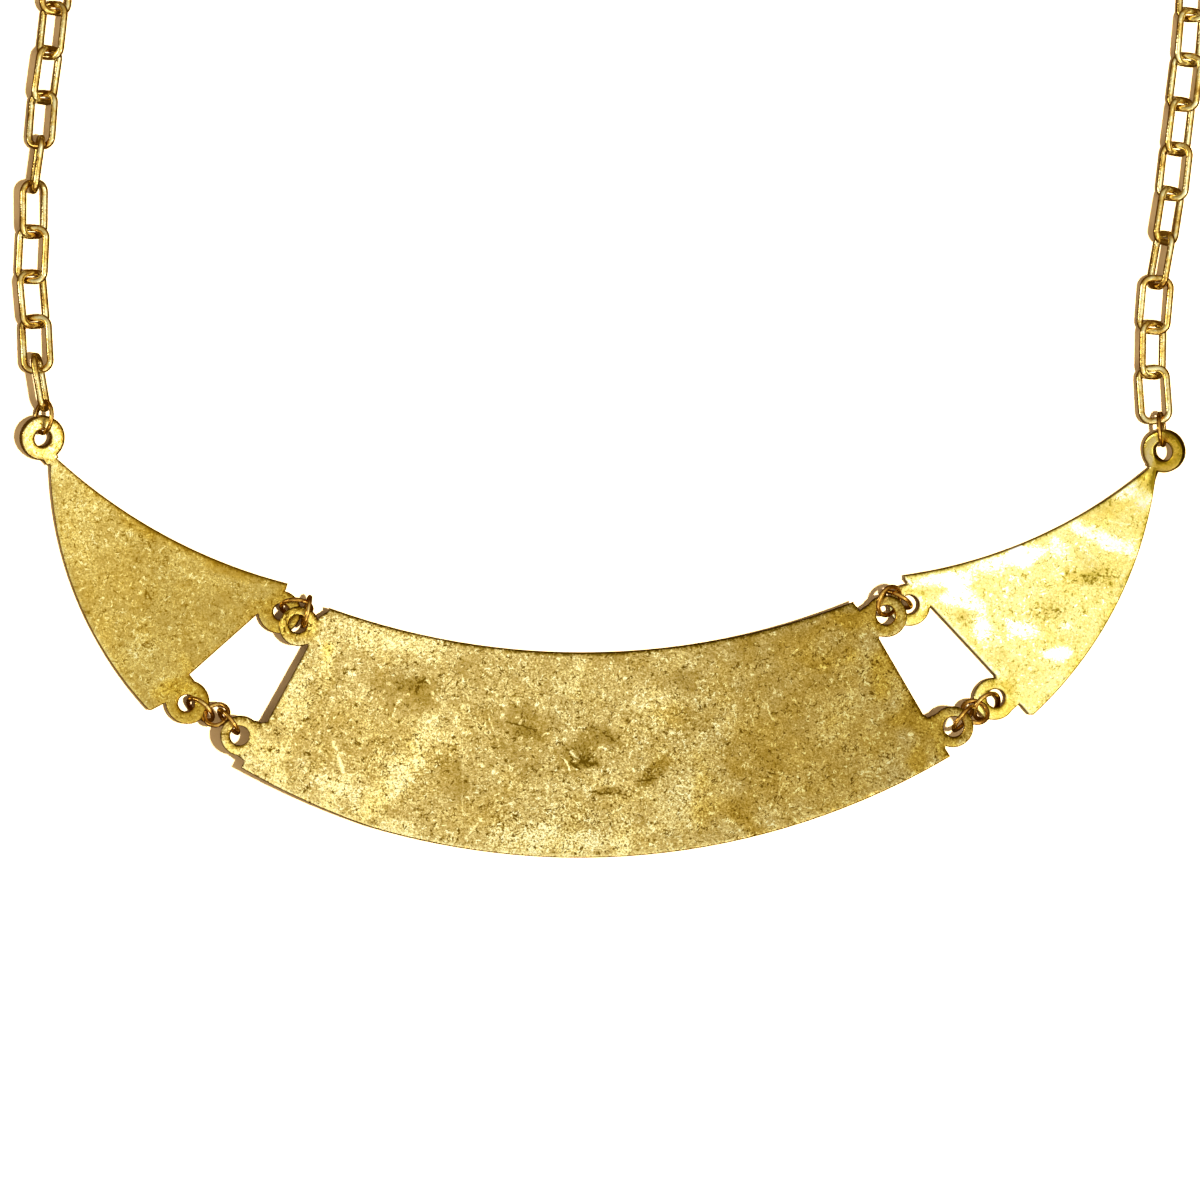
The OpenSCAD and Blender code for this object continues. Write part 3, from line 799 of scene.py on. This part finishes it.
def hammered_gilt(plate, base, contrast, tones, dull, bright):
    """Hammered gilt brass back, worn satin, with clouds, blows, wiping strokes, grit, pits, scratches, and
    painted highlights and shade.
    """
    material, tree, shader = new_material("hammered_gilt_brass_" + plate.node.split("_")[1], 1.0)
    place = add(tree, "ShaderNodeTexCoord").outputs["Object"]
    mm = add(tree, "ShaderNodeVectorMath", {0: place, "Scale": 1 / MM}, operation="SCALE")
    painted = {name: add(tree, "ShaderNodeAttribute", attribute_name=name).outputs["Fac"]
               for name in ("tone", "pits", "thick", "crinkle", "rim")}
    grain = {name: add(tree, "ShaderNodeTexNoise", {"Vector": mm, "Scale": 1 / size, "Detail": detail,
                                                    "Roughness": rough, "Distortion": bend})
             for name, (size, detail, rough, bend, _, _) in (BROAD | FINE).items()}
    pit_noise = add(tree, "ShaderNodeTexNoise", {"Vector": mm, "Scale": 1 / PIT_SIZE, "Detail": 3,
                                                 "Roughness": 0.6, "Distortion": 0.5})
    pit_mask = add(tree, "ShaderNodeMapRange", (pit_noise, *PIT_EDGE))
    pits = add(tree, "ShaderNodeMath", (pit_mask, painted["pits"]), operation="MULTIPLY")
    broad = [(grain[name], row[4], 0.5) for name, row in BROAD.items()]
    low = total(tree, [(painted["tone"], 1.0, 0.0)] + broad)
    fine = [(grain[name], row[4] * contrast, 0.5) for name, row in FINE.items()]
    fine = total(tree, fine + curl_terms(tree, mm, contrast))
    # bright places are crinkled, dark ones are smooth
    by_tone = add(tree, "ShaderNodeMapRange", (low, *CRINKLE_TONES, *CRINKLE_CONTRAST))
    crinkle = add(tree, "ShaderNodeMath", (by_tone, painted["crinkle"]), operation="ADD")
    worn = add(tree, "ShaderNodeMath", (fine, crinkle, low), operation="MULTIPLY_ADD")
    # the painted shade and highlight of the rims, the pits' darkening and the worn tone
    marks = [(painted["rim"], RIM_PAINTED_LIGHT_TONE, 0.0), (pits, PIT_TONE, 0.0), (worn, 1.0, -base)]
    value = total(tree, marks + scratch_and_relief_terms(tree, mm, SCRATCHES_AND_PAINTED_RELIEF[plate.node]))
    ramp = add(tree, "ShaderNodeValToRGB", {0: value})
    set_tones(ramp, tones)
    cloud_size, cloud_weight, cloud_middle = THICK_CLOUDS
    cloud = add(tree, "ShaderNodeTexNoise", {"Vector": mm, "Scale": 1 / cloud_size, "Detail": 4,
                                             "Roughness": 0.6, "Distortion": 1.0})
    thick = total(tree, [(painted["thick"], 1.0, 0.0), (cloud, cloud_weight, cloud_middle)])
    gold = add(tree, "ShaderNodeMix", {0: thick, 6: ramp, 7: colour(THICK_GILT)},
               data_type="RGBA", blend_type="MULTIPLY").outputs[2]
    spread = add(tree, "ShaderNodeMapRange", (value, *SHINE_TONES, dull, bright))
    heights = [(grain[name], row[5], 0.5) for name, row in (BROAD | FINE).items()]
    height = total(tree, heights + [(pits, PIT_HEIGHT, 0.0)])
    strength, distance = GRAIN_BUMP
    bump = add(tree, "ShaderNodeBump", {"Height": height, "Strength": strength, "Distance": distance})
    feed(tree, shader, {"Base Color": gold, "Roughness": spread, "Normal": bump})
    return material


# Drawn wire: sizes of its brown film and of its fine grain, the grain's share of tone, where in the grain the
# roughness changes and by how much, strength and height of the bump
WIRE_FILM = 2.6 * MM
WIRE_GRAIN = 0.35 * MM
WIRE_SHARE = 0.35
WIRE_SHINE = (0.3, 0.7)
WIRE_ROUGH = (-0.04, 0.05)
WIRE_BUMP = (0.5, 0.05 * MM)


def drawn_wire(name, tones, rough):
    """Gilt brass wire, drawn and tumbled: smooth and glossy, with a brown film in places."""
    material, tree, shader = new_material(name, 1.0)
    place = add(tree, "ShaderNodeTexCoord").outputs["Object"]
    film, fine = (add(tree, "ShaderNodeTexNoise", {"Vector": place, "Scale": 1 / size, "Detail": detail,
                                                   "Roughness": 0.6})
                  for size, detail in ((WIRE_FILM, 4), (WIRE_GRAIN, 3)))
    value = total(tree, [(film, 1.0, 0.0), (fine, WIRE_SHARE, 0.5)])
    ramp = add(tree, "ShaderNodeValToRGB", {0: value})
    set_tones(ramp, tones)
    spread = add(tree, "ShaderNodeMapRange", (fine, *WIRE_SHINE, *(rough + more for more in WIRE_ROUGH)))
    strength, distance = WIRE_BUMP
    bump = add(tree, "ShaderNodeBump", {"Height": fine, "Strength": strength, "Distance": distance})
    feed(tree, shader, {"Base Color": ramp, "Roughness": spread, "Normal": bump})
    return material


# Turned brass: stretch of its marks along the axis and round it, size of its brown film, the film's and the
# marks' shares of tone, strength and height of the bump
TURN_STRETCH = (9.0, 0.15, 1.0)
TURN_FILM = 3.0 * MM
TURN_SHARES = (0.9, 0.3)
TURN_BUMP = (0.3, 0.02 * MM)


def turned_brass(name, tones, rough):
    """Gilt brass turned on a lathe: fine rings round the axis; UV is mm along the axis and round it."""
    material, tree, shader = new_material(name, 1.0)
    around = add(tree, "ShaderNodeTexCoord").outputs["UV"]
    drawn = add(tree, "ShaderNodeMapping", {"Vector": around, "Scale": TURN_STRETCH})
    marks = add(tree, "ShaderNodeTexNoise", {"Vector": drawn, "Scale": 1.0, "Detail": 3})
    place = add(tree, "ShaderNodeTexCoord").outputs["Object"]
    film = add(tree, "ShaderNodeTexNoise", {"Vector": place, "Scale": 1 / TURN_FILM, "Detail": 4})
    value = total(tree, [(film, TURN_SHARES[0], 0.0), (marks, TURN_SHARES[1], 0.5)])
    ramp = add(tree, "ShaderNodeValToRGB", {0: value})
    set_tones(ramp, tones)
    strength, distance = TURN_BUMP
    bump = add(tree, "ShaderNodeBump", {"Height": marks, "Strength": strength, "Distance": distance})
    feed(tree, shader, {"Base Color": ramp, "Roughness": rough, "Normal": bump})
    return material


# Links and rings
LINK_CORNER = 1.25 * MM  # radius of a link's corners along the wire's middle
CORNER_STEPS = 7
WIRE_SIDES = 18
RING_STEPS = 72
ONE_WIRE = 1e-3 * MM  # points of the solid closer than this are of one wire
RING_CUT = 1.6  # degrees of the saw cut where a jump ring is closed


class Bent:
    """One bent wire of the CAD model: its middle, its turn and its outer sizes in its own axes."""

    def __init__(self, corners, triangles):
        a, b, c = (corners[triangles[:, k]] for k in range(3))
        area = np.linalg.norm(np.cross(b - a, c - a), axis=1)[:, None]
        middles = (a + b + c) / 3
        self.middle = (middles * area).sum(0) / area.sum()
        rel = (middles - self.middle) * np.sqrt(area)
        _, axes = np.linalg.eigh(rel.T @ rel)
        length, width = axes[:, 2], axes[:, 1]
        turned = np.column_stack([length, width, np.cross(length, width)])
        self.turn = Matrix(turned.tolist()).to_quaternion()
        own = (corners[np.unique(triangles)] - self.middle) @ turned
        self.size = own.max(0) - own.min(0)


def bent_wires(node):
    """Every separate wire in a CAD node."""
    bm = cad_bmesh(node, ONE_WIRE)
    bmesh.ops.triangulate(bm, faces=bm.faces)
    bm.verts.index_update()
    corners = np.array([v.co[:] for v in bm.verts])
    left, wires = set(bm.faces), []
    while left:
        island, edge = [], [left.pop()]
        while edge:
            face = edge.pop()
            island.append([v.index for v in face.verts])
            for side in face.edges:
                for other in side.link_faces:
                    if other in left:
                        left.discard(other)
                        edge.append(other)
        wires.append(Bent(corners, np.array(island)))
    bm.free()
    return wires


def wire_tree(name, path_of):
    """A Geometry Nodes tree that bends a wire along a path and puts it at each point's place and turn."""
    tree = bpy.data.node_groups.new(name, "GeometryNodeTree")
    sockets = {"Points": "NodeSocketGeometry", "Length": "NodeSocketFloat", "Width": "NodeSocketFloat",
               "Wire": "NodeSocketFloat", "Corner": "NodeSocketFloat", "Metal": "NodeSocketMaterial"}
    for label, kind in sockets.items():
        tree.interface.new_socket(label, in_out="INPUT", socket_type=kind)
    tree.interface.new_socket("Wires", in_out="OUTPUT", socket_type="NodeSocketGeometry")
    given = add(tree, "NodeGroupInput").outputs
    half = add(tree, "ShaderNodeMath", (given["Wire"], 0.5), operation="MULTIPLY")
    length, width = (add(tree, "ShaderNodeMath", (given[way], given["Wire"]), operation="SUBTRACT")
                     for way in ("Length", "Width"))
    section = add(tree, "GeometryNodeCurvePrimitiveCircle", {"Resolution": WIRE_SIDES, "Radius": half})
    path = path_of(tree, length, width, given["Corner"])
    swept = add(tree, "GeometryNodeCurveToMesh", {"Curve": path, "Profile Curve": section, "Fill Caps": True})
    shaded = add(tree, "GeometryNodeSetShadeSmooth", {"Geometry": swept})
    turn = add(tree, "GeometryNodeInputNamedAttribute", {"Name": "turn"}, data_type="QUATERNION")
    placed = add(tree, "GeometryNodeInstanceOnPoints", {"Points": given["Points"], "Instance": shaded,
                                                        "Rotation": turn})
    real = add(tree, "GeometryNodeRealizeInstances", {"Geometry": placed})
    metal = add(tree, "GeometryNodeSetMaterial", {"Geometry": real, "Material": given["Metal"]})
    add(tree, "NodeGroupOutput", {"Wires": metal})
    return tree


def link_path(tree, length, width, corner):
    """A rectangle with round corners."""
    box = add(tree, "GeometryNodeCurvePrimitiveQuadrilateral", {"Width": length, "Height": width})
    return add(tree, "GeometryNodeFilletCurve", {"Curve": box, "Count": CORNER_STEPS, "Radius": corner},
               mode="POLY")


def ring_path(tree, length, width, corner):
    """Nearly a whole circle; the rest is the cut. Width and corner aren't needed."""
    radius = add(tree, "ShaderNodeMath", (length, 0.5), operation="MULTIPLY")
    return add(tree, "GeometryNodeCurveArc", {"Resolution": RING_STEPS, "Radius": radius,
                                              "Sweep Angle": math.radians(360 - RING_CUT)})


def bent_wire_piece(name, tree, wires, metal):
    """One mesh of all the wires of a node."""
    mesh = bpy.data.meshes.new(name)
    mesh.from_pydata([tuple(w.middle) for w in wires], [], [])
    turns = mesh.attributes.new("turn", "QUATERNION", "POINT")
    for item, wire in zip(turns.data, wires):
        item.value = wire.turn
    source = add_object(name + "_points", mesh)
    size = np.mean([w.size for w in wires], axis=0)
    values = {"Length": size[0], "Width": size[1], "Wire": size[2], "Corner": LINK_CORNER, "Metal": metal}
    modifier = source.modifiers.new(name, "NODES")
    modifier.node_group = tree
    for item in tree.interface.items_tree:
        if item.in_out == "INPUT" and item.name in values:
            value = values[item.name]
            modifier[item.identifier] = value if item.name == "Metal" else float(value)
    made = bpy.data.meshes.new_from_object(source.evaluated_get(bpy.context.evaluated_depsgraph_get()))
    bpy.data.objects.remove(source)
    made.name = name
    return add_object(name, made)


# Clasp, with the part's own measures
BARREL_R = 2.2 * MM
GROOVE_HALF = 0.15 * MM
GROOVE_DEPTH = 0.2 * MM
GROOVE_FOOT = 0.03 * MM  # bevel at the foot of the groove
GROOVE_LIP = 0.04 * MM  # bevel at its lips
EYE_R = 1.3 * MM
EYE_WIRE = 0.7 * MM
BARREL_SIDES = 96
END_ROUNDING = 0.35 * MM
END_ROWS = 5
EYE_SIDES = (72, 20)  # round the eye, round its wire


def turned_profile(half):
    """The barrel from the middle of its groove to an end face, as places along the axis and radii."""
    foot = BARREL_R - GROOVE_DEPTH
    steps = [(0, foot), (GROOVE_HALF - GROOVE_FOOT, foot), (GROOVE_HALF, foot + GROOVE_FOOT),
             (GROOVE_HALF, BARREL_R - GROOVE_LIP), (GROOVE_HALF + GROOVE_LIP, BARREL_R)]
    for k in range(END_ROWS + 1):
        angle = k / END_ROWS * math.pi / 2
        steps.append((half - END_ROUNDING * (1 - math.sin(angle)),
                      BARREL_R - END_ROUNDING * (1 - math.cos(angle))))
    return steps


def add_barrel(bm, half):
    """Adds a barrel along X, grooved round its middle, with UV in mm along the axis and round it."""
    run = turned_profile(half)
    run = [(-x, r) for x, r in run[:0:-1]] + run
    uv = bm.loops.layers.uv.new("UVMap")
    sides = [k / BARREL_SIDES * 2 * math.pi for k in range(BARREL_SIDES)]
    rows = [[bm.verts.new((x, r * math.cos(t), r * math.sin(t))) for t in sides] for x, r in run]
    for upper, lower in zip(rows, rows[1:]):
        for i in range(BARREL_SIDES):
            j = (i + 1) % BARREL_SIDES
            face = bm.faces.new([upper[i], upper[j], lower[j], lower[i]])
            for loop, turn in zip(face.loops, (i, i + 1, i + 1, i)):
                loop[uv].uv = (loop.vert.co.x / MM, turn / BARREL_SIDES * 2 * math.pi * BARREL_R / MM)
    for row in (rows[0], rows[-1]):
        bm.faces.new(row)


def add_eye(bm, middle):
    """Adds a flat-lying eye of round wire with its middle on the X axis."""
    round_eye, round_wire = EYE_SIDES
    rows = []
    for i in range(round_eye):
        t = i / round_eye * 2 * math.pi
        rows.append([])
        for k in range(round_wire):
            w = k / round_wire * 2 * math.pi
            reach = EYE_R + EYE_WIRE / 2 * math.cos(w)
            rows[-1].append(bm.verts.new((middle + reach * math.cos(t), reach * math.sin(t),
                                          EYE_WIRE / 2 * math.sin(w))))
    for a, b in zip(rows, rows[1:] + rows[:1]):
        for k in range(round_wire):
            bm.faces.new([a[k], b[k], b[k - 1], a[k - 1]])


def clasp_piece(name, node, metal):
    """The clasp: a barrel with an eye at each end, where its solid is."""
    whole = bent_wires(node)[0]
    half = whole.size[0] / 2 - 2 * EYE_R
    bm = bmesh.new()
    add_barrel(bm, half)
    for side in (-1, 1):
        add_eye(bm, side * (half + EYE_R - EYE_WIRE / 2))
    bmesh.ops.recalc_face_normals(bm, faces=bm.faces)
    place = Matrix.LocRotScale(Vector(whole.middle), whole.turn, None)
    bmesh.ops.transform(bm, matrix=place, verts=bm.verts)
    mesh = smooth_mesh(name, bm)
    mesh.materials.append(metal)
    return add_object(name, mesh)


# The scene
make_camera()
make_table()
make_light()
make_room()
bpy.context.scene.view_settings.view_transform = "Standard"

for name, plate in PLATES.items():
    mesh, loops = plate_mesh(plate)
    paint_plate(mesh, name, loops)
    mesh.materials.append(hammered_gilt(plate, *FINISH[name]))
    stands_for(add_object(name + "_sheet", mesh), name)

chain_metal = drawn_wire("gilt_chain_wire", ((0.28, "#AE8234"), (0.44, "#ECCC72"), (0.58, "#FFF6C0")), 0.09)
ring_metal = drawn_wire("gilt_ring_wire", ((0.25, "#9A6A22"), (0.5, "#D6A850"), (0.75, "#F8DC8E")), 0.12)
clasp_metal = turned_brass("turned_gilt_brass", ((0.2, "#B8923E"), (0.5, "#E4C676"), (0.75, "#FBE8A4")), 0.26)
links = wire_tree("chain_links", link_path)
rings = wire_tree("jump_rings", ring_path)
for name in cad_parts:
    if name.startswith("chain"):
        stands_for(bent_wire_piece(name + "_links", links, bent_wires(name), chain_metal), name)
    elif name.startswith("ring"):
        stands_for(bent_wire_piece(name + "_wire", rings, bent_wires(name), ring_metal), name)
    elif name == "clasp":
        stands_for(clasp_piece("clasp_barrel", name, clasp_metal), name)
